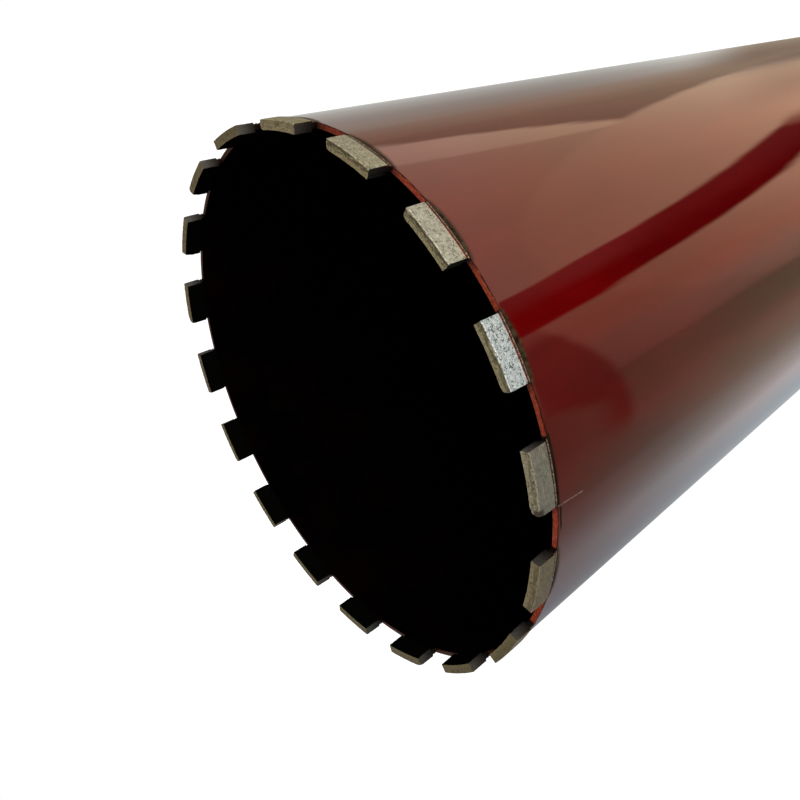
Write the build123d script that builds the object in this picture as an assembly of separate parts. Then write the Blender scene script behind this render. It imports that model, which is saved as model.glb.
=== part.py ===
from build123d import *
import os
from math import degrees, sqrt

# Diamond core bit for drilling concrete. A thin steel barrel carries a crown of sintered
# segments on its open rim. A back plate is welded into its other end, and a threaded hub
# on the plate screws onto the drill's spindle.
# Millimetres. The bit stands on the hub's end face with its open rim up. The origin is the
# centre of that face, +Z runs along the axis of rotation to the cutting rim, and +X passes
# through the middle of segment_01. The segments are numbered clockwise seen from above.

# Barrel
barrel_diameter = 250.0
barrel_wall = 2.5
barrel_length = 520.0
barrel_back_chamfer = 0.5

# Segments: a sintered body on a thinner foot that is welded to the rim
segment_count = 18
segment_length = 24.0
segment_thickness = 4.2
segment_body_height = 8.1
segment_outer_overhang = 0.7
segment_corner_chamfer = 0.7
segment_edge_chamfer = 0.35
segment_foot_height = 1.8
segment_foot_inset = 0.25

# Back plate, and the weld bead that runs round it in a bevel of the barrel
plate_thickness = 10.0
plate_fit = 0.1
plate_front_chamfer = 1.0
plate_weld_bevel = 1.5
plate_weld_width = 7.0
plate_weld_crown = 1.2
plate_weld_shoulder = 2.0

# Hub with the spindle thread, two wrench flats and a spigot through the plate
hub_diameter = 66.0
hub_length = 45.0
hub_end_chamfer = 2.0
hub_flat_depth = 5.5
hub_flat_height = 20.0
hub_flat_start = 10.0
hub_spigot_diameter = 44.0
hub_spigot_fit = 0.1
hub_weld_leg = 6.0
thread_diameter = 31.75
threads_per_inch = 7
thread_mouth_clearance = 0.5

# Worked out from the sizes above
inch = 25.4
thread_pitch = inch / threads_per_inch
thread_minor_radius = thread_diameter / 2 - 0.625 * sqrt(3) / 2 * thread_pitch
thread_mouth_radius = thread_diameter / 2 + thread_mouth_clearance
thread_mouth_depth = thread_mouth_radius - thread_minor_radius
barrel_outer_radius = barrel_diameter / 2
barrel_inner_radius = barrel_outer_radius - barrel_wall
plate_back_z = hub_length
plate_front_z = plate_back_z + plate_thickness
rim_z = plate_back_z + barrel_length
segment_outer_radius = barrel_outer_radius + segment_outer_overhang
segment_inner_radius = segment_outer_radius - segment_thickness
segment_angle = degrees(segment_length / segment_outer_radius)


def turned(profile):
    """Revolve a closed profile, drawn as radius and height, about the Z axis."""
    return revolve(Plane.XZ * make_face(profile), Axis.Z)


def barrel():
    """Steel tube, bevelled inside its back end for the weld of the back plate."""
    profile = Polyline(
        (barrel_inner_radius, rim_z),
        (barrel_outer_radius, rim_z),
        (barrel_outer_radius, plate_back_z + barrel_back_chamfer),
        (barrel_outer_radius - barrel_back_chamfer, plate_back_z),
        (barrel_inner_radius + plate_weld_bevel, plate_back_z),
        (barrel_inner_radius, plate_back_z + plate_weld_bevel),
        close=True,
    )
    return turned(profile)


def back_plate():
    """Round plate in the barrel's back end, one with the crowned weld bead around it."""
    hole_radius = hub_spigot_diameter / 2 + hub_spigot_fit
    plate_radius = barrel_inner_radius - plate_fit
    bead_outer = barrel_inner_radius + plate_weld_bevel
    bead_inner = bead_outer - plate_weld_width
    crown_z = plate_back_z - plate_weld_crown
    profile = Polyline(
        (bead_inner, plate_back_z),
        (bead_inner + plate_weld_shoulder, crown_z),
        (bead_outer - plate_weld_shoulder, crown_z),
        (bead_outer, plate_back_z),
        (barrel_inner_radius, plate_back_z + plate_weld_bevel),
        (plate_radius, plate_back_z + plate_weld_bevel),
        (plate_radius, plate_front_z - plate_front_chamfer),
        (plate_radius - plate_front_chamfer, plate_front_z),
        (hole_radius, plate_front_z),
        (hole_radius, plate_back_z),
        close=True,
    )
    return turned(profile)


def spindle_hub():
    """Turned hub, bored to the thread's minor diameter, with its weld against the plate."""
    outer = hub_diameter / 2
    spigot = hub_spigot_diameter / 2
    profile = Polyline(
        (thread_mouth_radius, 0),
        (outer - hub_end_chamfer, 0),
        (outer, hub_end_chamfer),
        (outer, plate_back_z - hub_weld_leg),
        (outer + hub_weld_leg, plate_back_z),
        (spigot, plate_back_z),
        (spigot, plate_front_z),
        (thread_mouth_radius, plate_front_z),
        (thread_minor_radius, plate_front_z - thread_mouth_depth),
        (thread_minor_radius, thread_mouth_depth),
        close=True,
    )
    hub = turned(profile)
    cutter = Box(hub_diameter, hub_flat_depth, hub_flat_height)
    cutter_y = outer - hub_flat_depth / 2
    cutter_z = hub_flat_start + hub_flat_height / 2
    for side in (-1, 1):
        hub -= Pos(0, side * cutter_y, cutter_z) * cutter
    return hub


def ring_sector(inner_radius, outer_radius, angle):
    """Flat face between two arcs about the origin, centred on +X."""
    inner_arc = CenterArc((0, 0), inner_radius, -angle / 2, angle)
    outer_arc = CenterArc((0, 0), outer_radius, -angle / 2, angle)
    start_side = Line(inner_arc @ 0, outer_arc @ 0)
    end_side = Line(inner_arc @ 1, outer_arc @ 1)
    return make_face([inner_arc, end_side, outer_arc, start_side])


def segment():
    """One cutting segment on the +X side: curved body and foot, seated on the rim."""
    outline = ring_sector(segment_inner_radius, segment_outer_radius, segment_angle)
    outline = chamfer(outline.vertices(), segment_corner_chamfer)
    body = extrude(outline, segment_body_height)
    body = chamfer(body.faces().sort_by(Axis.Z)[-1].edges(), segment_edge_chamfer)
    foot_angle = segment_angle - degrees(2 * segment_foot_inset / segment_outer_radius)
    foot_face = ring_sector(barrel_inner_radius, barrel_outer_radius, foot_angle)
    foot = extrude(foot_face, segment_foot_height)
    return Pos(0, 0, rim_z) * (foot + Pos(0, 0, segment_foot_height) * body)


def main():
    parts = {
        "barrel": barrel(),
        "back_plate": back_plate(),
        "spindle_hub": spindle_hub(),
    }
    first_segment = segment()
    for index in range(segment_count):
        turn = Rotation(0, 0, -360 / segment_count * index)
        parts[f"segment_{index + 1:02d}"] = turn * first_segment

    os.makedirs("parts", exist_ok=True)
    for name, solid in parts.items():
        export_step(solid, f"parts/{name}.step")


main()
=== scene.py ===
import math
from collections import namedtuple

import bpy
from mathutils import Matrix, Vector, noise


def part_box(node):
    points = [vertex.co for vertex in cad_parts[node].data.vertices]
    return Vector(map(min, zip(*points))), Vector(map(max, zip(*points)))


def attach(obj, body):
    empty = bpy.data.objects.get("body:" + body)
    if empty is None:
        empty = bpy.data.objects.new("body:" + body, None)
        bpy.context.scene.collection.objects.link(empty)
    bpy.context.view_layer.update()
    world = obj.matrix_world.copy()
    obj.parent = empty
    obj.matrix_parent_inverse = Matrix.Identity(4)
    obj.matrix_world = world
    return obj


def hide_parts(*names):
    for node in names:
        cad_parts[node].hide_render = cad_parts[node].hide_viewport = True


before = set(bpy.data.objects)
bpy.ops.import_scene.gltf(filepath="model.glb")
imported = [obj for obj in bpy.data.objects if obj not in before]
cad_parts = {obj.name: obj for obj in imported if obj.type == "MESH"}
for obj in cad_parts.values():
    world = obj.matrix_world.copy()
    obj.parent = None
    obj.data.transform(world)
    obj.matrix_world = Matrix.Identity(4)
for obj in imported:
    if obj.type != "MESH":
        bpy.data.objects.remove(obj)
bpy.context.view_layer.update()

# Sizes in metres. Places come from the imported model, and small sizes are named here.
MM = 0.001
SEGMENT_COUNT = 18
PITCH_ANGLE = 2 * math.pi / SEGMENT_COUNT
RIM_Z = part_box("barrel")[1].z
BACK_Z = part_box("barrel")[0].z
BARREL_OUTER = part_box("barrel")[1].x
WALL = 2.5 * MM
BARREL_INNER = BARREL_OUTER - WALL
RIM_EDGE = 0.25 * MM
BARREL_CHAMFER = 0.5 * MM
BARREL_BEVEL = 1.5 * MM
SEGMENT_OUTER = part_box("segment_01")[1].x
SEGMENT_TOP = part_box("segment_01")[1].z
SEGMENT_LENGTH = 24.0 * MM
SEGMENT_THICKNESS = 4.2 * MM
SEGMENT_INNER = SEGMENT_OUTER - SEGMENT_THICKNESS
FOOT_HEIGHT = 1.8 * MM
FOOT_INSET = 0.25 * MM
PLATE_FRONT_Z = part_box("back_plate")[1].z
PLATE_HOLE = 22.1 * MM
PLATE_RADIUS = BARREL_INNER - 0.1 * MM
PLATE_CHAMFER = 1.0 * MM
WELD_OUTER = BARREL_INNER + BARREL_BEVEL
WELD_WIDTH = 7.0 * MM
HUB_RADIUS = 33.0 * MM
HUB_CHAMFER = 2.0 * MM
HUB_WELD_LEG = 6.0 * MM
SPIGOT_RADIUS = 22.0 * MM
FLAT_HALF_WIDTH = 27.5 * MM
FLAT_LOW = 10.0 * MM
FLAT_HIGH = 30.0 * MM
THREAD_MAJOR = 15.875 * MM
THREAD_PITCH = 25.4 / 7 * MM
THREAD_DEPTH = 0.625 * math.sqrt(3) / 2 * THREAD_PITCH
THREAD_MINOR = THREAD_MAJOR - THREAD_DEPTH
MOUTH_RADIUS = THREAD_MAJOR + 0.5 * MM

# Marks near the rim, in mm: arc round the barrel from +X, depth below the rim, height above it
GREY_SEGMENT = 4
SCORCH_HALF_WIDTH = 14.0
SCORCH_DEPTH = 2.4
GREY_SCORCH_DEPTH = 1.5
DARK_LINE_DEPTH = 1.9
DARK_LINE_ARCS = (-200.0, -196.0, -188.5, -186.5)
SCRATCH_ARC = -187.3
SCRATCH_LEAN = 0.085
SCRATCH_DEPTH = 15.5
PIT_ARC = -184.3
PIT_WIDTH = 1.3
PIT_HEIGHTS = (6.8, 8.2)
PIT_RADII = (122.8, 123.8)


# Mesh helpers
def make_object(name, vertices, faces, materials, smooth=True):
    mesh = bpy.data.meshes.new(name)
    mesh.from_pydata(vertices, [], faces)
    mesh.validate()
    for polygon in mesh.polygons:
        polygon.use_smooth = smooth
    for material in materials:
        mesh.materials.append(material)
    made = bpy.data.objects.new(name, mesh)
    bpy.context.scene.collection.objects.link(made)
    return made


def divided(start, end, spacing):
    """Values from start to just before end, about spacing apart."""
    count = max(1, round(abs(end - start) / spacing))
    return [start + (end - start) * index / count for index in range(count)]


def polar(radius, angle, z):
    return Vector((radius * math.cos(angle), radius * math.sin(angle), z))


def clamp(value, low, high):
    return max(low, min(high, value))


def full_circle(steps):
    """Angles all round, with the first one repeated at the end."""
    return [2 * math.pi * index / steps for index in range(steps + 1)]


def softened(profile, size):
    """Closed profile of (radius, z) with each corner turned into a small curve."""
    points = []
    for index, corner in enumerate(profile):
        corner = Vector(corner)
        before = Vector(profile[index - 1]) - corner
        after = Vector(profile[(index + 1) % len(profile)]) - corner
        start = corner + before.normalized() * min(size, before.length / 3)
        end = corner + after.normalized() * min(size, after.length / 3)
        points += [tuple(start), tuple((start + 2 * corner + end) / 4), tuple(end)]
    return points


def ring_surface(rings):
    """Vertices and faces between closed rings of points, with doubled points merged."""
    index = {}

    def vertex(point):
        return index.setdefault(tuple(round(value, 7) for value in point), len(index))

    faces = []
    for ring, following in zip(rings, rings[1:] + rings[:1]):
        for column in range(len(ring) - 1):
            corners = (ring[column], ring[column + 1], following[column + 1], following[column])
            face = list(dict.fromkeys(vertex(corner) for corner in corners))
            if len(face) > 2:
                faces.append(face)
    return [Vector(point) for point in index], faces


# Shader helpers
def is_vector(value):
    """True for a colour or a vector, as a tuple or as a node's output."""
    return isinstance(value, tuple) or isinstance(value, Value) and value.socket.type != "VALUE"


class Value:
    """A node's output, used in sums like a number. Colours and vectors go by component."""

    def __init__(self, nodes, socket):
        self.nodes = nodes
        self.socket = socket

    def combined(self, operation, first, second):
        vectors = is_vector(first) or is_vector(second)
        combine = self.nodes.vector if vectors else self.nodes.math
        return combine(operation, first, second)

    def __add__(self, other):
        return self.combined("ADD", self, other)

    def __radd__(self, other):
        return self.combined("ADD", other, self)

    def __sub__(self, other):
        return self.combined("SUBTRACT", self, other)

    def __rsub__(self, other):
        return self.combined("SUBTRACT", other, self)

    def __mul__(self, other):
        return self.combined("MULTIPLY", self, other)

    def __truediv__(self, other):
        return self.combined("DIVIDE", self, other)

    def __abs__(self):
        return self.nodes.math("ABSOLUTE", self)

    def dot(self, other):
        return self.nodes.vector("DOT_PRODUCT", self, other)

    def split(self):
        sockets = self.nodes.add("ShaderNodeSeparateXYZ", {0: self}).outputs
        return [Value(self.nodes, socket) for socket in sockets]

    def step(self, start, end):
        """Smooth change from 0 where the value is at start to 1 at end, either way round."""
        inputs = {"Value": self, "From Min": start, "From Max": end}
        return self.nodes.value("ShaderNodeMapRange", inputs, interpolation_type="SMOOTHSTEP")

    def band(self, low, full, fading, high):
        """0 up to low, 1 from full to fading, and 0 again from high on."""
        return self.step(low, full) * self.step(high, fading)

    def noise(self, scale, detail=3.0, roughness=0.5):
        inputs = {"Vector": self, "Scale": scale, "Detail": detail, "Roughness": roughness}
        return self.nodes.value("ShaderNodeTexNoise", inputs)

    def patches(self, scale, start, end, detail=3.0, roughness=0.5):
        """0 where the noise is at start, and 1 where it is at end."""
        return self.noise(scale, detail, roughness).step(start, end)

    def pores(self, scale):
        return self.nodes.value("ShaderNodeTexVoronoi", {"Vector": self, "Scale": scale}, "Distance")

    def ramp(self, *stops):
        """Colour ramp. Each stop is its position, red, green and blue."""
        node = self.nodes.add("ShaderNodeValToRGB", {0: self})
        elements = node.color_ramp.elements
        while len(elements) < len(stops):
            elements.new(1.0)
        for element, (position, *colour) in zip(elements, stops):
            element.position = position
            element.color = (*colour, 1.0)
        return Value(self.nodes, node.outputs[0])


class Nodes:
    """Builds the node tree of a material or world."""

    def __init__(self, owner):
        owner.use_nodes = True
        self.owner = owner
        self.tree = owner.node_tree

    def add(self, kind, inputs=None, **settings):
        node = self.tree.nodes.new(kind)
        for name, value in settings.items():
            setattr(node, name, value)
        for socket, value in (inputs or {}).items():
            self.put(value, node.inputs[socket])
        return node

    def put(self, value, socket):
        if isinstance(value, Value):
            self.tree.links.new(value.socket, socket)
        elif isinstance(value, tuple) and socket.type == "RGBA":
            socket.default_value = (*value, 1.0)
        else:
            socket.default_value = value

    def value(self, kind, inputs=None, out=0, **settings):
        return Value(self, self.add(kind, inputs, **settings).outputs[out])

    def math(self, operation, *values, clamped=False):
        inputs = dict(enumerate(values))
        return self.value("ShaderNodeMath", inputs, operation=operation, use_clamp=clamped)

    def vector(self, operation, *values):
        out = 1 if operation == "DOT_PRODUCT" else 0
        return self.value("ShaderNodeVectorMath", dict(enumerate(values)), out, operation=operation)

    def highest(self, first, *others):
        for other in others:
            first = self.math("MAXIMUM", first, other)
        return first

    def join(self, x, y, z):
        return self.value("ShaderNodeCombineXYZ", {0: x, 1: y, 2: z})

    def blend(self, factor, first, second):
        """Mix of two numbers."""
        return self.value("ShaderNodeMix", {0: factor, 2: first, 3: second})

    def mix(self, factor, first, second):
        """Mix of two colours."""
        return self.value("ShaderNodeMix", {0: factor, 6: first, 7: second}, 2, data_type="RGBA")

    def bump(self, height, distance, strength):
        return self.value("ShaderNodeBump", {"Height": height, "Distance": distance, "Strength": strength})


def new_material(name):
    return Nodes(bpy.data.materials.new(name))


def finished(nodes, colour, **inputs):
    """The material. Inputs of its shader are linked, or set where they are plain values."""
    shader = nodes.tree.nodes["Principled BSDF"]
    nodes.put(colour, shader.inputs["Base Color"])
    for name, value in inputs.items():
        nodes.put(value, shader.inputs[name.replace("_", " ")])
    return nodes.owner


def by_ray(nodes, plain, gloss, camera):
    """Shader that gloss and the camera see differently."""
    glossy = nodes.value("ShaderNodeLightPath", out="Is Glossy Ray")
    seen = nodes.value("ShaderNodeLightPath", out="Is Camera Ray")
    unseen = nodes.value("ShaderNodeMixShader", {0: glossy, 1: plain, 2: gloss})
    return nodes.value("ShaderNodeMixShader", {0: seen, 1: unseen, 2: camera})


def position_in_mm(nodes):
    return nodes.value("ShaderNodeTexCoord", out="Object") * ((1 / MM,) * 3)


Place = namedtuple("Place", "point angle arc radius z")


def place_on_ring(nodes):
    """Position in mm, and round the axis: angle, arc length in mm, radius in mm and height."""
    point = position_in_mm(nodes)
    x, y, z = point.split()
    angle = nodes.math("ARCTAN2", y, x)
    radius = nodes.math("SQRT", x * x + y * y)
    return Place(point, angle, angle * (BARREL_OUTER / MM), radius, z)


def nearest_segment(nodes, at):
    """Turn of the nearest segment, and how far from its middle, both in pitches."""
    turn = at.angle / PITCH_ANGLE
    nearest = nodes.math("ROUND", turn)
    return nearest, turn - nearest


def facing(nodes):
    """How far the surface faces outwards and upwards, from -1 to 1."""
    normal = nodes.value("ShaderNodeNewGeometry", out="Normal")
    position = nodes.value("ShaderNodeNewGeometry", out="Position")
    outwards = nodes.vector("NORMALIZE", position * (1, 1, 0))
    return normal.dot(outwards), normal.split()[2]


# How each kind of segment looks under the light where it stands, with that light and shade painted in:
# tints of the ground outer face and of the cutting face, brightness of the end faces, and strength of the
# grinding streaks and the dark furrows
Look = namedtuple("Look", "ground cut ends streaks furrows")
SEGMENT_LIT_LOOKS = {
    "bright": Look((0.68, 0.73, 0.76), (1.02, 0.95, 0.80), 0.30, 0.15, 0.75),
    "cream": Look((0.58, 0.54, 0.43), (1.02, 0.94, 0.78), 0.12, 0.45, 0.95),
    "sand": Look((0.47, 0.42, 0.29), (1.00, 0.87, 0.68), 0.12, 0.50, 0.90),
    "olive": Look((0.37, 0.32, 0.175), (0.90, 0.79, 0.63), 0.60, 0.35, 0.30),
    "grey": Look((0.235, 0.215, 0.172), (1.06, 1.00, 0.96), 1.40, 1.00, 0.60),
    "plain": Look((0.215, 0.168, 0.102), (0.74, 0.65, 0.51), 0.92, 0.50, 0.60),
    "far": Look((0.40, 0.36, 0.26), (0.44, 0.37, 0.21), 1.80, 0.30, 0.20),
    "dull": Look((0.26, 0.23, 0.16), (0.39, 0.36, 0.20), 1.00, 0.30, 0.30),
}
# Kinds by place round the rim: each segment's faces are painted lighter or darker by how it faces the lamp,
# as painted light and shade
SEGMENT_KINDS = {0: "olive", 1: "sand", 2: "cream", 3: "bright", GREY_SEGMENT: "grey", 5: "plain",
                 14: "far", 15: "far", 16: "far", 17: "far"}


def ground_face(nodes, at, look):
    """Ground outer face: pale metal with scratches along it, dark grit and pores."""
    along = nodes.join(at.arc * 0.22, at.radius, at.z * 1.2)
    loose = nodes.join(at.arc * 0.8, at.radius, at.z)
    lines = along.noise(2.4, 5.0, 0.75)
    mottle = loose.noise(1.5, 5.0, 0.75)
    base = nodes.blend(look.streaks, mottle, lines)
    colour = base.ramp((0.28, 0.24, 0.25, 0.23), (0.46, 0.55, 0.57, 0.54), (0.70, 0.92, 0.95, 0.92))
    crowd = at.point.patches(0.5, 0.34, 0.58)
    wavering = (mottle - 0.5) * 0.35

    def pits_of(scale, rim, floor):
        return (loose.pores(scale) + wavering).step(rim, floor)

    pits = pits_of(1.25, 0.38, 0.26) * crowd
    small_pits = pits_of(2.2, 0.36, 0.24) * (0.35 + crowd)
    amount = 1.0 - 0.75 * look.streaks
    small_share = nodes.math("MULTIPLY", small_pits, 0.8 * amount, clamped=True)
    colour = nodes.mix(small_share, colour, (0.09, 0.10, 0.08))
    colour = nodes.mix(pits * amount, colour, (0.03, 0.04, 0.03))
    patch = 0.80 + at.point.patches(0.7, 0.35, 0.62, 3.0, 0.6) * 0.27
    colour = colour * patch * look.ground
    return colour, lines, (small_pits * 0.4 + pits) * amount


def cutting_face(nodes, at, grain, look):
    """Rough olive cutting face, furrowed along its outer side and paler at its inner edge."""
    inner, outer = SEGMENT_INNER / MM, SEGMENT_OUTER / MM
    stretched = nodes.join(at.arc * 0.30, at.radius, 0.0)
    broken = stretched.patches(0.9, 0.60, 0.46, 5.0, 0.7)
    outer_side = at.radius.band(outer - 2.9, outer - 1.7, outer - 0.6, outer - 0.1)
    furrow = broken * outer_side * look.furrows
    speckle = at.point.patches(0.85, 0.46, 0.36, 4.0, 0.7) * 0.9
    pale = at.point.patches(1.15, 0.54, 0.64, 3.0, 0.7) * 0.65
    pale_edge = at.radius.step(inner + 1.1, inner + 0.1) * 0.30
    colour = grain.ramp((0.32, 0.13, 0.115, 0.06), (0.5, 0.27, 0.25, 0.15), (0.68, 0.46, 0.43, 0.29))
    colour = nodes.mix(pale, colour, (0.56, 0.53, 0.38))
    colour = nodes.mix(speckle, colour, (0.050, 0.043, 0.022))
    colour = nodes.mix(pale_edge, colour, (0.50, 0.47, 0.34))
    colour = nodes.mix(furrow, colour, (0.040, 0.036, 0.020))
    return colour * look.cut, furrow + speckle * 0.6


def end_face(height, grain, look):
    """Dull end faces, with painted shade that darkens them towards the foot."""
    colour = grain.ramp((0.3, 0.012, 0.011, 0.009), (0.55, 0.048, 0.045, 0.039), (0.8, 0.12, 0.108, 0.088))
    shade = 0.10 + height.step(FOOT_HEIGHT / MM, 9.5) * 0.90
    return colour * (shade * look.ends)


def bare_and_glinting_edges(at, outward, upward):
    """Bright bare metal along the edge between the ground face and the cutting face, lightened further as a
    painted highlight.
    """
    edge = upward.band(0.15, 0.40, 0.70, 0.95) * outward.step(0.0, 0.4)
    return edge * at.point.patches(1.1, 0.44, 0.54, 4.0, 0.7) * 0.85


def pit_with_painted_shade(at, height):
    """The one deep pit at the end of the grey segment, with the shade inside it painted in as a dark
    colour.
    """
    pit = at.arc.step(PIT_ARC + PIT_WIDTH, PIT_ARC) * height.step(*PIT_HEIGHTS)
    pit = pit * at.radius.step(*PIT_RADII)
    return pit * at.point.patches(1.1, 0.30, 0.42, 4.0, 0.7) * 0.9


def segment_foot(nodes, level, outward, grain, painted):
    """Foot of a segment: a line of paint below, burnt above, and painted shade, near black, at the ends and
    inside.
    """
    paint = grain.ramp((0.38, 0.05, 0.008, 0.005), (0.52, 0.33, 0.040, 0.018), (0.72, 0.50, 0.17, 0.11))
    paint = nodes.mix(painted, (0.030, 0.018, 0.012), paint)
    burnt = grain.ramp((0.4, 0.004, 0.003, 0.002), (0.7, 0.05, 0.038, 0.02))
    colour = nodes.mix(level.step(1.15, 0.95), paint, burnt)
    # Painted shade: faces that turn away from the outside go near black
    return nodes.mix(outward.step(0.75, 0.5), colour, (0.002, 0.0015, 0.001))


def segment_metal(kind):
    """Sintered metal: ground outside, olive and rough on the cutting face, dull at the ends."""
    look = SEGMENT_LIT_LOOKS[kind]
    nodes = new_material(f"sintered_{kind}")
    at = place_on_ring(nodes)
    outward, upward = facing(nodes)
    height = at.z - RIM_Z / MM
    grain = at.point.noise(2.2, 5.0, 0.75)
    ground, lines, pits = ground_face(nodes, at, look)
    cut, hollows = cutting_face(nodes, at, grain, look)
    dull = end_face(height, grain, look)
    colour = nodes.mix(outward.step(0.35, 0.80), dull, ground)
    colour = nodes.mix(upward.step(0.45, 0.80), colour, cut)
    # Painted highlight: the edges are lighter than the ground face beside them
    glint = tuple(min(1.0, 1.15 * value + 0.04) for value in look.ground)
    colour = nodes.mix(bare_and_glinting_edges(at, outward, upward), colour, glint)
    painted = 1.0
    if kind == "grey":
        # The pit's shade is painted in as a near-black colour
        colour = nodes.mix(pit_with_painted_shade(at, height), colour, (0.020, 0.011, 0.008))
        painted = 0.1

    foot_top = FOOT_HEIGHT / MM
    wobble = (at.point.noise(0.34) - 0.5) * 0.5
    foot = segment_foot(nodes, height + wobble, outward, grain, painted)
    colour = nodes.mix(height.step(foot_top + 0.12, foot_top), colour, foot)
    relief = grain * 0.7 + lines * 0.4 - (pits + hollows)
    return finished(nodes, colour, Metallic=outward.step(0.3, 0.8) * 0.12, Roughness=0.55,
                    Specular_IOR_Level=0.25, Normal=nodes.bump(relief, 0.16 * MM, 0.8))


def inner_face_shade():
    """Painted shade on the segments' inner faces: near black, with a little bare metal showing."""
    nodes = new_material("inner_face_shade")
    grain = position_in_mm(nodes).noise(2.0, 4.0, 0.7)
    return finished(nodes, grain.ramp((0.45, 0.0008, 0.0008, 0.0007), (0.8, 0.006, 0.0055, 0.0045)),
                    Roughness=0.9, Specular_IOR_Level=0.0, Normal=nodes.bump(grain, 0.1 * MM, 0.6))


def weld_metal():
    """Bright weld metal with heat tint and dark specks."""
    nodes = new_material("weld_metal")
    speckle = position_in_mm(nodes).noise(1.3, 4.0, 0.7)
    colour = speckle.ramp((0.40, 0.03, 0.014, 0.009), (0.52, 0.20, 0.12, 0.08), (0.70, 0.46, 0.38, 0.30))
    return finished(nodes, colour, Metallic=0.3, Roughness=0.4, Normal=nodes.bump(speckle, 0.1 * MM, 0.6))


def scorch_marks(nodes, at, depth, wobble):
    """Scorched arcs behind the welds and a burnt line, and where the grey segment is, a dark band beside it
    that is burn and painted shadow of its overhang.
    """
    nearest, pitch = nearest_segment(nodes, at)
    at_grey = abs(nearest + GREY_SEGMENT).step(0.6, 0.4)
    across = pitch * (PITCH_ANGLE * BARREL_OUTER / MM)
    ratio = across / SCORCH_HALF_WIDTH
    arch = nodes.math("SQRT", nodes.math("SUBTRACT", 1.0, ratio * ratio, clamped=True))
    spread = SCORCH_DEPTH - at_grey * (SCORCH_DEPTH - GREY_SCORCH_DEPTH)
    reach = arch * spread + (wobble - 0.5) * 1.2
    behind_weld = (depth - reach).step(1.1, -1.3) * reach.step(0.0, 0.6)
    near_rim = depth.step(0.5, 0.25) * wobble.step(0.62, 0.42)
    contact_shadow = at_grey * depth.step(1.6, 1.0) * reach.step(0.0, 0.5)
    off_line = depth + wobble * 0.6 - DARK_LINE_DEPTH
    line = abs(off_line).step(0.60, 0.25) * at.arc.band(*DARK_LINE_ARCS)
    return nodes.highest(behind_weld, near_rim, contact_shadow, line), at_grey


def long_scratch(at, depth, wobble):
    """A thin light scratch that runs back from the rim."""
    off = abs(at.arc - SCRATCH_ARC + depth * SCRATCH_LEAN + wobble * 0.5)
    scratch = off.step(0.46, 0.12) * depth.step(SCRATCH_DEPTH, SCRATCH_DEPTH - 2.5)
    return scratch * at.point.patches(0.9, 0.36, 0.56) * 0.6


def lacquer():
    """Dark red glossy lacquer on the barrel, scorched behind each weld, with painted shadow darkening it
    beside the grey segment.
    """
    nodes = new_material("red_lacquer")
    at = place_on_ring(nodes)
    depth = RIM_Z / MM - at.z
    wobble = at.point.noise(0.6)
    scorch, at_grey = scorch_marks(nodes, at, depth, wobble)

    tone = nodes.join(at.arc * 0.06, 0.0, at.z * 0.02).noise(1.0, 4.0, 0.6)
    red = tone.ramp((0.3, 0.060, 0.0005, 0.0008), (0.7, 0.084, 0.0010, 0.0016))
    burnt = wobble.ramp((0.35, 0.008, 0.006, 0.004), (0.65, 0.045, 0.036, 0.018))
    # Painted shadow: the burn is darker still beside the grey segment's overhang
    burnt = nodes.mix(at_grey * 0.8, burnt, (0.006, 0.004, 0.003))
    colour = nodes.mix(scorch, red, burnt)
    colour = nodes.mix(long_scratch(at, depth, wobble), colour, (0.24, 0.14, 0.14))
    ripple = nodes.join(at.arc * 0.5, 0.0, at.z * 0.05).noise(0.12, 2.0)
    return finished(nodes, colour, Roughness=0.45, Specular_IOR_Level=0.0, Coat_Weight=1.0 - scorch * 0.92,
                    Coat_Roughness=0.03, Coat_IOR=1.5, Coat_Normal=nodes.bump(ripple, 0.6 * MM, 0.30))


def lit_rim_paint():
    """Orange-red paint on the barrel's end face: the red lacquer painted lighter as painted light, with
    painted shade on the far side and a painted shadow beside one end of each segment.
    """
    nodes = new_material("lit_rim_paint")
    at = place_on_ring(nodes)
    pitch = nearest_segment(nodes, at)[1]
    foot_end = SEGMENT_LENGTH / (2 * BARREL_OUTER * PITCH_ANGLE)
    outer, inner = BARREL_OUTER / MM, BARREL_INNER / MM
    speckle = at.point.noise(1.3, 5.0, 0.7)
    paint = speckle.ramp((0.32, 0.11, 0.015, 0.008), (0.5, 0.31, 0.041, 0.016), (0.72, 0.48, 0.13, 0.07))
    paint_in_shade = speckle.ramp((0.35, 0.006, 0.003, 0.002), (0.7, 0.10, 0.026, 0.014))
    # Painted shade on the far side of the rim, and a painted shadow beside one end of each segment
    far_side = nodes.math("COSINE", at.angle + 1.15).step(0.72, 0.35)
    segment_shadow = pitch.band(-foot_end - 0.15, -foot_end - 0.02, -0.1, 0.0)
    colour = nodes.mix(segment_shadow * 0.75, paint, paint_in_shade)
    colour = nodes.mix(far_side, colour, paint_in_shade)
    wander = at.point.noise(0.35, 4.0, 0.6) * 1.1
    outer_line = (at.radius - (outer - 0.85 + wander)).step(-0.05, 0.15)
    # The inner edge goes dark as painted shade next to the dark inside
    inner_line = at.radius.step(inner + 0.30, inner + 0.10)
    under_foot = abs(pitch).step(foot_end + 0.028, foot_end + 0.012)
    colour = nodes.mix(nodes.highest(outer_line, inner_line, under_foot), colour, (0.016, 0.005, 0.004))
    return finished(nodes, colour, Roughness=0.5, Specular_IOR_Level=0.05,
                    Normal=nodes.bump(speckle, 0.1 * MM, 0.6))


def inner_wall():
    """Dull inside of the barrel, painted nearly black with a breath of red as painted shade."""
    nodes = new_material("inner_wall")
    cloud = position_in_mm(nodes).noise(0.03)
    return finished(nodes, cloud.ramp((0.4, 0.0005, 0.0003, 0.0003), (0.8, 0.0035, 0.0005, 0.0004)),
                    Roughness=0.9, Specular_IOR_Level=0.0)


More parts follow.
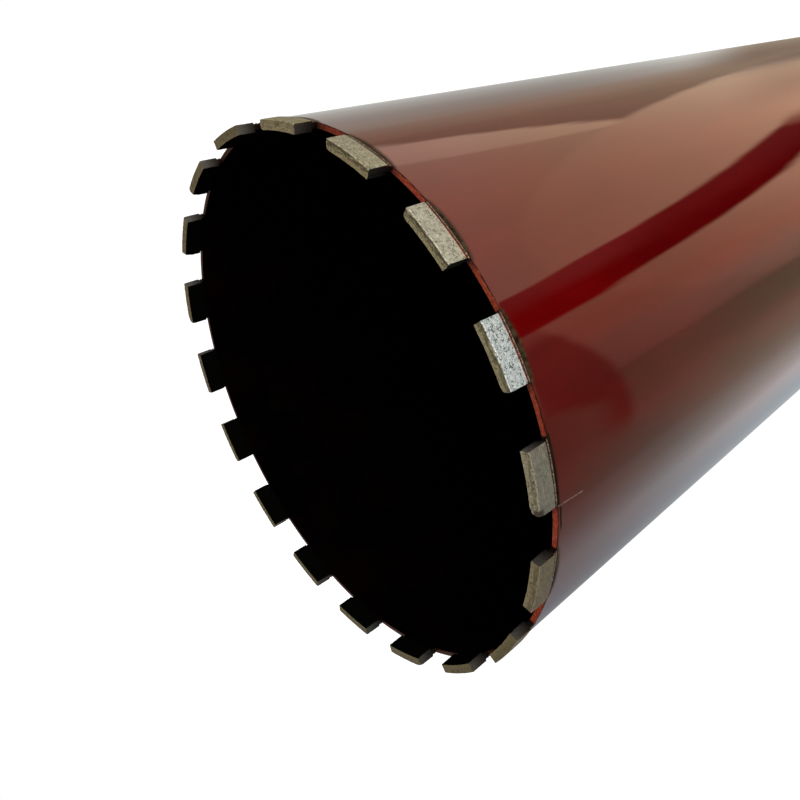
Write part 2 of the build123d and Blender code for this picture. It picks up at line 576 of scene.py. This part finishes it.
def back_paint():
    """The barrel's red lacquer on the back plate and its weld, a little uneven and dusty."""
    nodes = new_material("back_lacquer")
    at = place_on_ring(nodes)
    cloud = at.point.noise(0.05, 4.0, 0.6)
    peel = at.point.noise(0.9, 2.0)
    spun = nodes.join(at.angle * 2.0, at.radius * 1.6, at.z)
    marks = spun.noise(1.0, 4.0, 0.7)
    red = cloud.ramp((0.3, 0.070, 0.0020, 0.0024), (0.7, 0.110, 0.0045, 0.0045))
    dust = at.point.patches(0.35, 0.52, 0.75, 5.0, 0.7) * 0.25
    relief = marks * 0.6 + peel * 0.4
    return finished(nodes, nodes.mix(dust, red, (0.16, 0.07, 0.055)), Roughness=0.5, Specular_IOR_Level=0.0,
                    Coat_Weight=0.8, Coat_Roughness=0.09, Coat_Normal=nodes.bump(relief, 0.2 * MM, 0.35),
                    Normal=nodes.bump(relief, 0.2 * MM, 0.5))


def plate_inside():
    """Dull dark paint on the side of the back plate that faces the rim, kept near black as painted shade
    like the inside of the barrel.
    """
    nodes = new_material("plate_inside")
    cloud = position_in_mm(nodes).noise(0.05, 5.0, 0.65)
    return finished(nodes, cloud.ramp((0.35, 0.010, 0.006, 0.006), (0.7, 0.030, 0.014, 0.012)),
                    Roughness=0.7, Specular_IOR_Level=0.2, Normal=nodes.bump(cloud, 0.3 * MM, 0.5))


def hub_weld_metal():
    """Bare weld around the hub, with straw and blue heat tint and dark specks."""
    nodes = new_material("hub_weld_metal")
    point = position_in_mm(nodes)
    cloud = point.noise(0.12, 4.0, 0.6)
    grain = point.noise(1.6, 5.0, 0.7)
    tint = cloud.ramp((0.32, 0.20, 0.21, 0.26), (0.5, 0.34, 0.32, 0.29), (0.66, 0.42, 0.33, 0.20))
    dark = grain.step(0.48, 0.32) * 0.6
    return finished(nodes, nodes.mix(dark, tint, (0.06, 0.05, 0.045)), Metallic=0.9,
                    Roughness=0.30 + grain * 0.25, Normal=nodes.bump(grain, 0.1 * MM, 0.6))


def turned_steel():
    """Bare turned steel: fine rings from the lathe, straight marks on the flats, heat tint."""
    nodes = new_material("turned_steel")
    at = place_on_ring(nodes)
    x, y = at.point.split()[:2]
    turned = nodes.join(at.arc * 0.01, at.radius * 3.0, at.z * 3.0)
    rings = turned.noise(1.0, 3.0, 0.6)
    milled = nodes.join(x * 2.6, 0.0, at.z * 0.06).noise(1.0, 3.0, 0.6)
    half_width, middle = FLAT_HALF_WIDTH / MM, (FLAT_LOW + FLAT_HIGH) / 2 / MM
    half_height = (FLAT_HIGH - FLAT_LOW) / 2 / MM
    on_flat = abs(y).band(half_width - 0.3, half_width - 0.1, half_width + 0.02, half_width + 0.15)
    on_flat = on_flat * abs(at.z - middle).step(half_height + 0.1, half_height - 0.1)
    stain = at.point.noise(0.08, 4.0, 0.6)
    colour = stain.ramp((0.35, 0.40, 0.395, 0.385), (0.7, 0.56, 0.555, 0.545))
    weld_z = (BACK_Z - HUB_WELD_LEG) / MM
    straw = at.z.step(weld_z - 7.0, weld_z) * 0.7
    blue = at.z.step(weld_z - 2.6, weld_z - 0.6) * 0.75
    colour = nodes.mix(straw, colour, (0.40, 0.30, 0.17))
    colour = nodes.mix(blue, colour, (0.13, 0.14, 0.22))
    return finished(nodes, colour, Metallic=1.0, Roughness=0.24 + stain * 0.2,
                    Normal=nodes.bump(nodes.blend(on_flat, rings, milled), 0.08 * MM, 0.5))


# Segments: one grid of quads each, worn at its edges and corners
GRID_SPACING = 0.4 * MM
FOOT_ROWS = 4
BODY_ROWS = 18
LENGTH_CELLS = 56
# Chips along the outer top edge: number: (place along the segment, size, spread) in mm
CHIPS = {
    0: [(4.0, 0.4, 3.0)],
    1: [(-8.0, 0.4, 2.0), (2.0, 0.6, 3.0)],
    2: [(10.0, 0.9, 1.6), (6.0, 0.6, 1.6), (-1.0, 0.8, 2.0), (-7.0, 0.6, 2.0), (-11.5, 1.1, 1.0)],
    3: [(9.0, 0.6, 2.5), (4.5, 0.9, 1.0), (2.0, 0.7, 0.8), (0.0, 1.2, 0.9)],
    4: [(3.0, 0.8, 6.0), (-7.0, 0.5, 2.0)],
    5: [(-2.0, 0.7, 4.0)],
}
# Worn corners: number: (end: 1 leading, -1 trailing; side: 1 outer, -1 inner; size in mm)
WORN_CORNERS = {
    0: [(1, 1, 0.7), (1, -1, 0.8)],
    1: [(1, -1, 1.0), (1, 1, 0.5)],
    2: [(1, -1, 1.1), (-1, -1, 0.4)],
    3: [(-1, -1, 1.1), (-1, 1, 0.8)],
    4: [(-1, -1, 1.5), (-1, 1, 1.2)],
    8: [(1, 1, 1.0)],
    12: [(1, 1, 1.0)],
    14: [(1, 1, 1.4), (1, -1, 1.0)],
    15: [(1, -1, 1.6)],
    16: [(1, -1, 1.4), (1, 1, 1.0)],
}
# Bulge of one outer face over its foot: number: (place along, height, spread, size) in mm
BULGES = {4: (-5.0, 3.0, 4.0, 0.30)}
BULGE_RISE = 3.0
# Room in mm that the roughness needs inside the CAD solid
ROUGH_ROOM = 0.04
TOP_ROOM = 0.05
# Radii of the body's edges in mm: at its bottom, added at the top, and the most it varies by
BOTTOM_EDGE = 0.18
TOP_EDGE = 0.22
TOP_EDGE_CHANGE = 0.28


def segment_columns():
    """Radial grid lines, and the columns where the foot starts and ends."""
    lines = divided(SEGMENT_INNER, BARREL_INNER, GRID_SPACING)
    foot_start = len(lines)
    lines += divided(BARREL_INNER, BARREL_OUTER, GRID_SPACING)
    foot_end = len(lines)
    lines += divided(BARREL_OUTER, SEGMENT_OUTER, GRID_SPACING) + [SEGMENT_OUTER]
    return lines, foot_start, foot_end


def grid_surface(counts, filled):
    """Vertices (as grid indices) and quads of the outside of the filled cells of a grid."""
    index = {}
    faces = []

    def vertex(corner):
        return index.setdefault(corner, len(index))

    sides = [
        ((-1, 0, 0), ((0, 0, 0), (0, 0, 1), (0, 1, 1), (0, 1, 0))),
        ((1, 0, 0), ((1, 0, 0), (1, 1, 0), (1, 1, 1), (1, 0, 1))),
        ((0, -1, 0), ((0, 0, 0), (1, 0, 0), (1, 0, 1), (0, 0, 1))),
        ((0, 1, 0), ((0, 1, 0), (0, 1, 1), (1, 1, 1), (1, 1, 0))),
        ((0, 0, -1), ((0, 0, 0), (0, 1, 0), (1, 1, 0), (1, 0, 0))),
        ((0, 0, 1), ((0, 0, 1), (1, 0, 1), (1, 1, 1), (0, 1, 1))),
    ]
    for i in range(counts[0]):
        for j in range(counts[1]):
            for k in range(counts[2]):
                if not filled(i, j, k):
                    continue
                for (di, dj, dk), corners in sides:
                    if filled(i + di, j + dj, k + dk):
                        continue
                    faces.append([vertex((i + a, j + b, k + c)) for a, b, c in reversed(corners)])
    return list(index), faces


def rounded(point, low, high, radius):
    """Moves a point on a box's surface onto the same box with rounded edges."""
    core = Vector([clamp(p, a + radius, b - radius) for p, a, b in zip(point, low, high)])
    offset = point - core
    if offset.length < 1e-9:
        return point
    return core + offset.normalized() * radius


def worn_segment(number):
    """Shape of one segment: arc length, radius and height above the rim, all in mm."""
    half = SEGMENT_LENGTH / MM / 2
    inner, outer = SEGMENT_INNER / MM, SEGMENT_OUTER / MM - ROUGH_ROOM
    bottom, top = FOOT_HEIGHT / MM, (SEGMENT_TOP - RIM_Z) / MM - TOP_ROOM
    low, high = Vector((-half, inner, bottom)), Vector((half, outer, top))
    seed = Vector((17.3 * number, 5.1 * number, 3.7))

    def edge_size(point):
        arc, radius, height = point
        near_top = clamp((height - bottom) / (top - bottom), 0, 1)
        wander = noise.noise(Vector((arc * 0.55, radius * 0.6, height * 0.3)) + seed)
        edge = BOTTOM_EDGE + near_top * (TOP_EDGE + TOP_EDGE_CHANGE * abs(wander))
        if radius > (inner + outer) / 2:
            for centre, size, spread in CHIPS.get(number, ()):
                grow = math.exp(-((arc - centre) / spread) ** 2)
                edge += near_top ** 3 * size * grow * (0.6 + 0.5 * wander)
        for end, side, size in WORN_CORNERS.get(number, ()):
            corner = Vector((end * half, outer if side > 0 else inner, top))
            nearness = clamp(1.35 - (point - corner).length / (2.2 * size), 0, 1)
            edge = max(edge, size * nearness * nearness * (3 - 2 * nearness))
        return clamp(edge, 0.15, 2.0)

    def shape(point):
        if point.z < bottom - 1e-6:
            return Vector((point.x * (1 - FOOT_INSET / MM / half), point.y, point.z))
        moved = rounded(point, low, high, edge_size(point))
        rough = 0.05 * noise.noise(moved * 1.1 + seed) + 0.03 * noise.noise(moved * 2.7 + seed)
        if moved.z > top - 0.2:
            moved.z = min(moved.z + rough * 1.6 - ROUGH_ROOM, top + ROUGH_ROOM)
        moved.y = clamp(moved.y + rough, inner - ROUGH_ROOM, outer)
        if number in BULGES and moved.y > outer - 0.6:
            along, level, spread, size = BULGES[number]
            away = ((moved.x - along) / spread) ** 2 + ((moved.z - level) / BULGE_RISE) ** 2
            moved.y += size * math.exp(-away)
        return moved

    return shape


def make_segment(number, material, inner_material):
    """Segment number 0 is centred on +X, and each next one is a pitch clockwise."""
    radial, foot_start, foot_end = segment_columns()
    half = SEGMENT_LENGTH / 2
    body_height = SEGMENT_TOP - RIM_Z - FOOT_HEIGHT
    arcs = divided(-half, half, SEGMENT_LENGTH / LENGTH_CELLS) + [half]
    heights = divided(0, FOOT_HEIGHT, FOOT_HEIGHT / FOOT_ROWS)
    heights += divided(FOOT_HEIGHT, SEGMENT_TOP - RIM_Z, body_height / BODY_ROWS)
    heights.append(SEGMENT_TOP - RIM_Z)
    counts = (len(arcs) - 1, len(radial) - 1, len(heights) - 1)

    def filled(i, j, k):
        if not (0 <= i < counts[0] and 0 <= j < counts[1] and 0 <= k < counts[2]):
            return False
        return k >= FOOT_ROWS or foot_start <= j < foot_end

    grid, faces = grid_surface(counts, filled)
    shape = worn_segment(number)
    centre_angle = -PITCH_ANGLE * number
    vertices = []
    for i, j, k in grid:
        arc, radius, height = shape(Vector((arcs[i], radial[j], heights[k])) / MM) * MM
        vertices.append(polar(radius, centre_angle + arc / SEGMENT_OUTER, RIM_Z + height))
    name = f"segment_{number + 1:02d}"
    made = make_object(f"{name}_worn", vertices, faces, [material, inner_material])
    inwards = -polar(1.0, centre_angle, 0.0)
    # Faces that turn inwards get the near-black painted shade
    for polygon in made.data.polygons:
        if polygon.normal.dot(inwards) > 0.6:
            polygon.material_index = 1
    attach(made, "root")
    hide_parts(name)


WELD_LINE_RADIUS = 0.26 * MM
WELD_LINE_HEIGHT = 0.45 * MM
WELD_LINE_STEP = 0.3 * MM


def make_weld_line(number, material):
    """Fine weld along the outside of one segment's foot, rippled and a little uneven."""
    half = SEGMENT_LENGTH / 2 + WELD_LINE_STEP
    across = 8
    vertices = []
    rows = divided(-half, half, WELD_LINE_STEP) + [half]
    for arc in rows:
        angle = -PITCH_ANGLE * number + arc / BARREL_OUTER
        wander = noise.noise(Vector((arc / MM * 0.9, number * 7.7, 0.3)))
        taper = clamp((half - abs(arc)) / (2 * WELD_LINE_STEP), 0.15, 1)
        size = (WELD_LINE_RADIUS + 0.10 * MM * wander) * taper
        height = RIM_Z + WELD_LINE_HEIGHT + 0.12 * MM * wander
        for index in range(across):
            turn = 2 * math.pi * index / across
            spot = polar(BARREL_OUTER + size * math.cos(turn), angle, height + size * math.sin(turn))
            vertices.append(spot)
    faces = []
    for row in range(len(rows) - 1):
        for index in range(across):
            following = (index + 1) % across
            here, there = row * across, (row + 1) * across
            faces.append((here + index, there + index, there + following, here + following))
    faces.append(tuple(range(across))[::-1])
    faces.append(tuple((len(rows) - 1) * across + index for index in range(across)))
    made = make_object(f"weld_line_{number + 1:02d}", vertices, faces, [material])
    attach(made, "root")


# Barrel
OUTSIDE, END_FACE, INSIDE = 0, 1, 2
BARREL_STEPS = 360
BARREL_DENT = 0.06 * MM


def barrel_profile():
    """Closed outline of the wall as (radius, z), and the material of each side of it."""
    edge = RIM_EDGE
    fine_end = RIM_Z - 6 * MM
    turns = [math.radians(90 * index / 4) for index in range(4)]
    heights = divided(RIM_Z - edge, fine_end, 1 * MM)
    heights += divided(fine_end, BACK_Z + BARREL_CHAMFER, 12 * MM)
    inner_heights = divided(BACK_Z + BARREL_BEVEL, RIM_Z - edge, 20 * MM)
    inner_edge, outer_edge = BARREL_INNER + edge, BARREL_OUTER - edge
    stretches = [
        (OUTSIDE, [(BARREL_OUTER, z) for z in heights]),
        (OUTSIDE, [(BARREL_OUTER, BACK_Z + BARREL_CHAMFER), (BARREL_OUTER - BARREL_CHAMFER, BACK_Z)]),
        (INSIDE, [(BARREL_INNER + BARREL_BEVEL, BACK_Z)]),
        (INSIDE, [(BARREL_INNER, z) for z in inner_heights]),
        (INSIDE, [(inner_edge - edge * math.cos(a), RIM_Z - edge + edge * math.sin(a)) for a in turns]),
        (END_FACE, [(inner_edge, RIM_Z)]),
        (END_FACE, [(outer_edge + edge * math.sin(a), RIM_Z - edge + edge * math.cos(a)) for a in turns]),
    ]
    profile = [point for _, points in stretches for point in points]
    slots = [slot for slot, points in stretches for _ in points]
    return profile, slots


def make_barrel(outside, end_face_paint, inside):
    """Rolled tube with softened rim edges, its outside a shade out of round."""
    profile, slots = barrel_profile()
    vertices = []
    for step in range(BARREL_STEPS):
        angle = 2 * math.pi * step / BARREL_STEPS
        for radius, z in profile:
            dent = BARREL_DENT * noise.noise(polar(1.0, angle, z * 2) * 2.2) - BARREL_DENT
            vertices.append(polar(radius + dent, angle, z))
    faces = []
    count = len(profile)
    for step in range(BARREL_STEPS):
        here, there = step * count, (step + 1) % BARREL_STEPS * count
        for index in range(count):
            following = (index + 1) % count
            faces.append((here + index, here + following, there + following, there + index))
    made = make_object("barrel_tube", vertices, faces, [outside, end_face_paint, inside])
    for polygon, slot in zip(made.data.polygons, slots * BARREL_STEPS):
        polygon.material_index = slot
    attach(made, "root")
    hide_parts("barrel")


# Back end: plate, welds and hub
def make_plate(paint, inside):
    """Back plate with soft edges, of which only the side towards the rim is dull."""
    profile = [
        (PLATE_HOLE, BACK_Z),
        (PLATE_RADIUS, BACK_Z),
        (PLATE_RADIUS, PLATE_FRONT_Z - PLATE_CHAMFER),
        (PLATE_RADIUS - PLATE_CHAMFER, PLATE_FRONT_Z),
        (PLATE_HOLE, PLATE_FRONT_Z),
    ]
    angles = full_circle(steps=240)
    outline = softened(profile, 0.3 * MM)
    vertices, faces = ring_surface([[polar(radius, angle, z) for angle in angles] for radius, z in outline])
    made = make_object("plate_disc", vertices, faces, [paint, inside])
    for polygon in made.data.polygons:
        polygon.material_index = 1 if polygon.normal.z > 0.5 else 0
    made.data.set_sharp_from_angle(angle=math.radians(50))
    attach(made, "root")
    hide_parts("back_plate")


def make_weld_ring(name, start, end, crown, ripple, material):
    """Rippled weld bead round the axis. start and end are (radius, z) across the bead."""
    start, end = Vector(start), Vector(end)
    across = end - start
    outwards = Vector((across.y, -across.x)).normalized()
    ripples = round(2 * math.pi * (start.x + end.x) / 2 / ripple)
    samples = 6
    rows = 8
    angles = full_circle(ripples * samples)

    def section(angle, place):
        round_trip = Vector((math.cos(angle), math.sin(angle), 0.0))
        drift = 0.7 * noise.noise(round_trip * 3.1) + 0.25 * noise.noise(round_trip * 11.0)
        phase = angle / (2 * math.pi) * ripples + 1.6 * (2 * place - 1) ** 2 + drift
        ridge = abs(math.sin(math.pi * phase)) ** 0.6
        height = crown * math.sin(math.pi * place) ** 0.7 * (0.70 + 0.30 * ridge)
        height *= 0.92 + 0.16 * noise.noise(round_trip * 5.3)
        return start + across * place + outwards * height

    rings = []
    for row in range(rows + 1):
        points = [section(angle, row / rows) for angle in angles]
        rings.append([polar(point.x, angle, point.y) for point, angle in zip(points, angles)])
    root = (start + end) / 2 - outwards * 0.8 * MM
    rings.append([polar(root.x, angle, root.y) for angle in angles])
    vertices, faces = ring_surface(rings)
    made = make_object(name, vertices, faces, [material])
    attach(made, "root")


# One turn of the thread: (share of the pitch, share of the thread's depth)
THREAD_FORM = [(0.02, 0), (0.23, 0), (0.27, 0.08), (0.54, 0.94),
               (0.58, 1), (0.67, 1), (0.71, 0.94), (0.98, 0.08)]


def thread_rings(angles):
    """Helical rows of the right-hand thread, from the plate's side down to the end face."""
    length = PLATE_FRONT_Z
    rings = []
    for turn in range(math.ceil(length / THREAD_PITCH), -2, -1):
        for place, depth in reversed(THREAD_FORM):
            ring = []
            for angle in angles:
                z = clamp((turn + place + angle / (2 * math.pi)) * THREAD_PITCH, 0.0, length)
                mouth = MOUTH_RADIUS - min(z, length - z)
                ring.append(polar(max(THREAD_MINOR + THREAD_DEPTH * depth, mouth), angle, z))
            rings.append(ring)
    return rings


def make_hub(material):
    """Turned hub with two spanner flats and a thread through it."""
    soft = 0.25 * MM
    corner = math.asin(FLAT_HALF_WIDTH / HUB_RADIUS)
    corners = [corner, math.pi - corner, math.pi + corner, 2 * math.pi - corner]
    angles = sorted(full_circle(steps=144) + corners)

    def ring(radius, z, flat=False):
        points = [polar(radius, angle, z) for angle in angles]
        if flat:
            for point in points:
                point.y = clamp(point.y, -FLAT_HALF_WIDTH, FLAT_HALF_WIDTH)
        return points

    end_outline = softened([
        (MOUTH_RADIUS, 0.0),
        (HUB_RADIUS - HUB_CHAMFER, 0.0),
        (HUB_RADIUS, HUB_CHAMFER),
        (HUB_RADIUS, FLAT_LOW - soft),
        (MOUTH_RADIUS, FLAT_LOW),
    ], soft)
    rings = [ring(radius, z) for radius, z in end_outline[2:-5]]
    rings += [ring(HUB_RADIUS, FLAT_LOW), ring(HUB_RADIUS, FLAT_LOW, flat=True)]
    rings += [ring(HUB_RADIUS, FLAT_HIGH, flat=True), ring(HUB_RADIUS, FLAT_HIGH)]
    rings += [ring(HUB_RADIUS, BACK_Z - HUB_WELD_LEG), ring(HUB_RADIUS + HUB_WELD_LEG, BACK_Z)]
    rings += [ring(SPIGOT_RADIUS, BACK_Z), ring(SPIGOT_RADIUS, PLATE_FRONT_Z)]
    rings.append(ring(MOUTH_RADIUS, PLATE_FRONT_Z))
    rings += thread_rings(angles)
    vertices, faces = ring_surface(rings)
    made = make_object("hub_turned", vertices, faces, [material])
    made.data.set_sharp_from_angle(angle=math.radians(32))
    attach(made, "root")
    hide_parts("spindle_hub")


# Stage
def make_floor():
    """Pale floor. The camera sees it white with a faint shadow, and gloss sees the studio instead."""
    size = 12.0
    nodes = new_material("floor")
    nodes.tree.nodes.clear()
    pale = nodes.value("ShaderNodeBsdfDiffuse", {"Color": (0.86, 0.86, 0.86)})
    faint = nodes.value("ShaderNodeBsdfDiffuse", {"Color": (0.26, 0.26, 0.26)})
    white = nodes.value("ShaderNodeEmission", {"Color": (1.0, 1.0, 1.0), "Strength": 0.95})
    clear = nodes.value("ShaderNodeBsdfTransparent")
    seen = nodes.value("ShaderNodeAddShader", {0: white, 1: faint})
    nodes.add("ShaderNodeOutputMaterial", {"Surface": by_ray(nodes, pale, clear, seen)})
    corners = [(-size, -size, 0), (size, -size, 0), (size, size, 0), (-size, size, 0)]
    floor = make_object("floor", corners, [(0, 1, 2, 3)], [nodes.owner], smooth=False)


# Soft walls of the studio that gloss reflects: azimuth in degrees from +X, and colour
STUDIO_WALLS = [
    (-180, (0.46, 0.54, 0.58)),
    (-162, (0.66, 0.78, 0.80)),
    (-148, (0.46, 0.64, 0.60)),
    (-134, (0.18, 0.38, 0.30)),
    (-112, (0.12, 0.27, 0.18)),
    (-94, (0.12, 0.27, 0.17)),
    (-92, (0.34, 0.34, 0.23)),
    (-80, (0.66, 0.50, 0.35)),
    (-66, (1.22, 0.62, 0.39)),
    (-45, (1.78, 1.08, 0.70)),
    (0, (1.92, 1.20, 0.77)),
    (20, (1.72, 1.20, 0.80)),
    (34, (1.60, 1.18, 0.80)),
    (52, (0.84, 0.74, 0.59)),
    (64, (0.84, 0.86, 0.76)),
    (80, (0.84, 0.86, 0.80)),
    (120, (0.55, 0.56, 0.54)),
    (164, (0.36, 0.40, 0.42)),
    (180, (0.46, 0.54, 0.58)),
]
BRIGHTEST = 2.0
STUDIO_TURN = math.radians(2.6)

# Straight edges of the studio's forms: across direction, place along it, and softness
PANEL_EDGE = ((-0.9473, 0.3110, -0.0771), -0.361, 0.012)
FOLD_EDGE = ((0.2829, -0.1359, -0.9495), 0.901, 0.006)
WEDGE_EDGE = ((0.0284, 0.7920, -0.6098), 0.680, 0.008)
GAP_NEAR_EDGE = ((0.8935, -0.1717, -0.4149), 0.708, 0.008)
GAP_FAR_EDGE = ((-0.9485, -0.1078, 0.2979), -0.644, 0.008)
GAP_GLOW_EDGE = ((-0.9485, -0.1078, 0.2979), -0.590, 0.045)
ARCH_ACROSS = (0.0552, 0.4576, -0.8874)

Ray = namedtuple("Ray", "direction x y z turn")


def beyond(ray, edge):
    """1 on the far side of a straight edge, seen from the bit."""
    across, place, softness = edge
    return ray.direction.dot(across).step(place - softness, place + softness)


def walls(ray):
    """Colours of the walls round the bit, lifted on the left and dimmed on the right lower down."""
    stops = []
    for azimuth, colour in STUDIO_WALLS:
        stops.append(((azimuth + 180) / 360, *(value / BRIGHTEST for value in colour)))
    light = ray.turn.ramp(*stops) * ((BRIGHTEST,) * 3)
    left_side = ray.x.step(0.35, -0.1) * ray.y.step(0.60, 0.35)
    steep = ray.z.step(-0.55, -0.90) * 0.75 - 0.15
    lift = 1.0 + steep * left_side
    right_side = ray.turn.step(0.62, 0.68) * ray.y.step(0.35, 0.60)
    lift = lift - ray.z.step(-0.50, -0.80) * right_side * 0.16
    far_drop = ray.z.step(-0.885, -0.925) * ray.turn.step(0.50, 0.56)
    lift = lift * (1.0 - far_drop * 0.28)
    return light * lift


def end_and_glows(nodes, ray, light):
    """A dim end low on the right, a red glow low on the left and one that shows near the rim."""
    dim_end = ray.z.step(-0.862, -0.912) * ray.turn.step(0.605, 0.645)
    light = nodes.mix(dim_end * ray.y.step(0.05, 0.15), light, (0.42, 0.35, 0.26))
    low_glow = ray.turn.band(0.005, 0.07, 0.175, 0.215) * ray.z.step(-0.70, -0.87)
    light = light + low_glow * (0.34, 0.08, 0.06)
    rim_glow = ray.z.step(-0.76, -0.66) * ray.turn.band(0.28, 0.34, 0.60, 0.64)
    return light + rim_glow * (0.17, 0.04, 0.12)


def panel_and_fold(nodes, ray, light):
    """A brighter wedge above a fold on the right, and the dull wall beyond the panel's edge."""
    outside_panel = beyond(ray, PANEL_EDGE) * ray.y.step(0.0, 0.2)
    outside_panel = outside_panel * ray.x.step(0.05, 0.2)
    below_fold = beyond(ray, FOLD_EDGE)
    above_fold = 1.0 - below_fold
    wedge = beyond(ray, WEDGE_EDGE) * ray.x.step(0.3, 0.5) * above_fold
    level = 0.93 + wedge * 0.32 + below_fold * 0.09
    right_of_fold = outside_panel * ray.turn.step(0.678, 0.612) * above_fold
    return nodes.mix(right_of_fold, light * level, (0.63, 0.54, 0.37))


def dark_gap(nodes, ray, light):
    """The dark gap between two walls, which glows a little red higher up."""
    gap = beyond(ray, GAP_NEAR_EDGE) * beyond(ray, GAP_FAR_EDGE)
    gap = gap * ray.y.step(0.0, -0.1)
    ember = nodes.mix(ray.z.step(-0.83, -0.75), (0.04, 0.0, 0.0), (0.58, 0.0, 0.0))
    height = 0.35 + ray.z.step(-0.85, -0.76) * 0.65
    glow = (1.0 - beyond(ray, GAP_GLOW_EDGE)) * height
    return nodes.mix(gap, light, nodes.mix(glow, ember, (0.60, 0.14, 0.12)))


def dark_arch(nodes, ray, light):
    """A dark curved band low in front, soft along its inner edge."""
    across = ray.direction.dot(ARCH_ACROSS)
    part = ray.y.step(-0.35, -0.5) * ray.x.band(-0.42, -0.22, 0.25, 0.45)
    inner_edge = 0.318 - ray.x.step(-0.16, -0.02) * 0.075
    band = (across - inner_edge).step(-0.035, 0.025) * across.step(0.362, 0.344)
    return nodes.mix(band * part * 0.78, light, (0.02, 0.06, 0.04))


def studio(nodes, direction):
    """Colour of the studio's lower part in a direction, as gloss sees it."""
    inputs = {"Vector": direction, "Angle": STUDIO_TURN}
    turned = nodes.value("ShaderNodeVectorRotate", inputs, rotation_type="Z_AXIS")
    x, y, z = turned.split()
    turn = nodes.math("ARCTAN2", y, x) / (2 * math.pi) + 0.5
    ray = Ray(turned, x, y, z, turn)
    light = walls(ray)
    for form in (end_and_glows, panel_and_fold, dark_gap, dark_arch):
        light = form(nodes, ray, light)
    return light


def soft_walls(direction):
    """Neutral upper walls with two soft panels, which the lacquer shows from the other sides."""
    x, y = direction.split()[:2]
    first = (y * 0.62 - x * 0.78).step(0.30, 0.95)
    second = (x * 0.55 - y * 0.83).step(0.45, 0.98)
    return (0.50, 0.46, 0.44) + (first + second) * (0.75, 0.52, 0.42)


def make_world():
    """White to the camera, even for plain light, and a soft studio for gloss."""
    world = bpy.data.worlds.new("studio")
    bpy.context.scene.world = world
    nodes = Nodes(world)
    nodes.tree.nodes.clear()
    direction = nodes.value("ShaderNodeTexCoord", out="Generated")
    upper = direction.split()[2].step(-0.51, -0.40)
    gloss_light = nodes.mix(upper, studio(nodes, direction), soft_walls(direction))

    def background(colour, strength):
        return nodes.value("ShaderNodeBackground", {"Color": colour, "Strength": strength})

    even = background((0.95, 0.98, 1.0), 0.38)
    gloss = background(gloss_light, 1.0)
    white = background((1.0, 1.0, 1.0), 1.0)
    nodes.add("ShaderNodeOutputWorld", {"Surface": by_ray(nodes, even, gloss, white)})


LAMP_SIZE = 0.9
LAMP_DISTANCE = 1.8


def make_lamp(name, azimuth, elevation, power, colour=(1, 1, 1)):
    """Square soft lamp that points at the middle of the bit."""
    target = Vector((0, 0, RIM_Z / 2))
    a, e = math.radians(azimuth), math.radians(elevation)
    away = Vector((math.cos(a) * math.cos(e), math.sin(a) * math.cos(e), math.sin(e)))
    data = bpy.data.lights.new(name, "AREA")
    data.size = LAMP_SIZE
    data.energy = power
    data.color = colour
    lamp = bpy.data.objects.new(name, data)
    lamp.location = target + away * LAMP_DISTANCE
    lamp.rotation_mode = "QUATERNION"
    lamp.rotation_quaternion = away.to_track_quat("Z", "Y")
    lamp.visible_camera = False
    lamp.visible_glossy = False
    bpy.context.scene.collection.objects.link(lamp)


# Camera, found from the corners of the 18 segments in the photograph
def make_camera():
    eye = Vector((159.10 * MM, -242.48 * MM, RIM_Z + 149.51 * MM))
    forward = Vector((-0.41752, 0.66372, -0.62057)).normalized()
    up = Vector((0.90717, 0.26579, -0.32610))
    right = forward.cross(up).normalized()
    up = right.cross(forward)
    photo_size = 800
    focal_pixels = 710.14
    centre_x, centre_y = 460.23, 335.98
    data = bpy.data.cameras.new("camera")
    data.sensor_width = 36.0
    data.lens = focal_pixels / photo_size * data.sensor_width
    data.shift_x = (photo_size / 2 - centre_x) / photo_size
    data.shift_y = (centre_y - photo_size / 2) / photo_size
    data.clip_start = 0.01
    camera = bpy.data.objects.new("camera", data)
    axes = Matrix((right, up, -forward)).transposed()
    camera.matrix_world = Matrix.Translation(eye) @ axes.to_4x4()
    bpy.context.scene.collection.objects.link(camera)
    bpy.context.scene.camera = camera


sintered = {kind: segment_metal(kind) for kind in SEGMENT_LIT_LOOKS}
inner_shade = inner_face_shade()
weld = weld_metal()
for number in range(SEGMENT_COUNT):
    make_segment(number, sintered[SEGMENT_KINDS.get(number, "dull")], inner_shade)
    make_weld_line(number, weld)
make_barrel(lacquer(), lit_rim_paint(), inner_wall())
back_red = back_paint()
make_plate(back_red, plate_inside())
plate_weld_z = BACK_Z + 0.05 * MM
make_weld_ring("plate_weld", (WELD_OUTER - WELD_WIDTH, plate_weld_z), (WELD_OUTER, plate_weld_z),
               crown=1.2 * MM, ripple=3.2 * MM, material=back_red)
hub_weld_start = (HUB_RADIUS - 0.1 * MM, BACK_Z - HUB_WELD_LEG - 0.3 * MM)
hub_weld_end = (HUB_RADIUS + HUB_WELD_LEG + 0.3 * MM, BACK_Z + 0.1 * MM)
make_weld_ring("hub_weld", hub_weld_start, hub_weld_end,
               crown=1.0 * MM, ripple=2.6 * MM, material=hub_weld_metal())
make_hub(turned_steel())

make_floor()
make_world()
make_lamp("key", azimuth=-48, elevation=24, power=23, colour=(1.0, 0.98, 0.94))
make_lamp("fill", azimuth=132, elevation=10, power=11)
make_camera()
bpy.context.scene.view_settings.view_transform = "Standard"
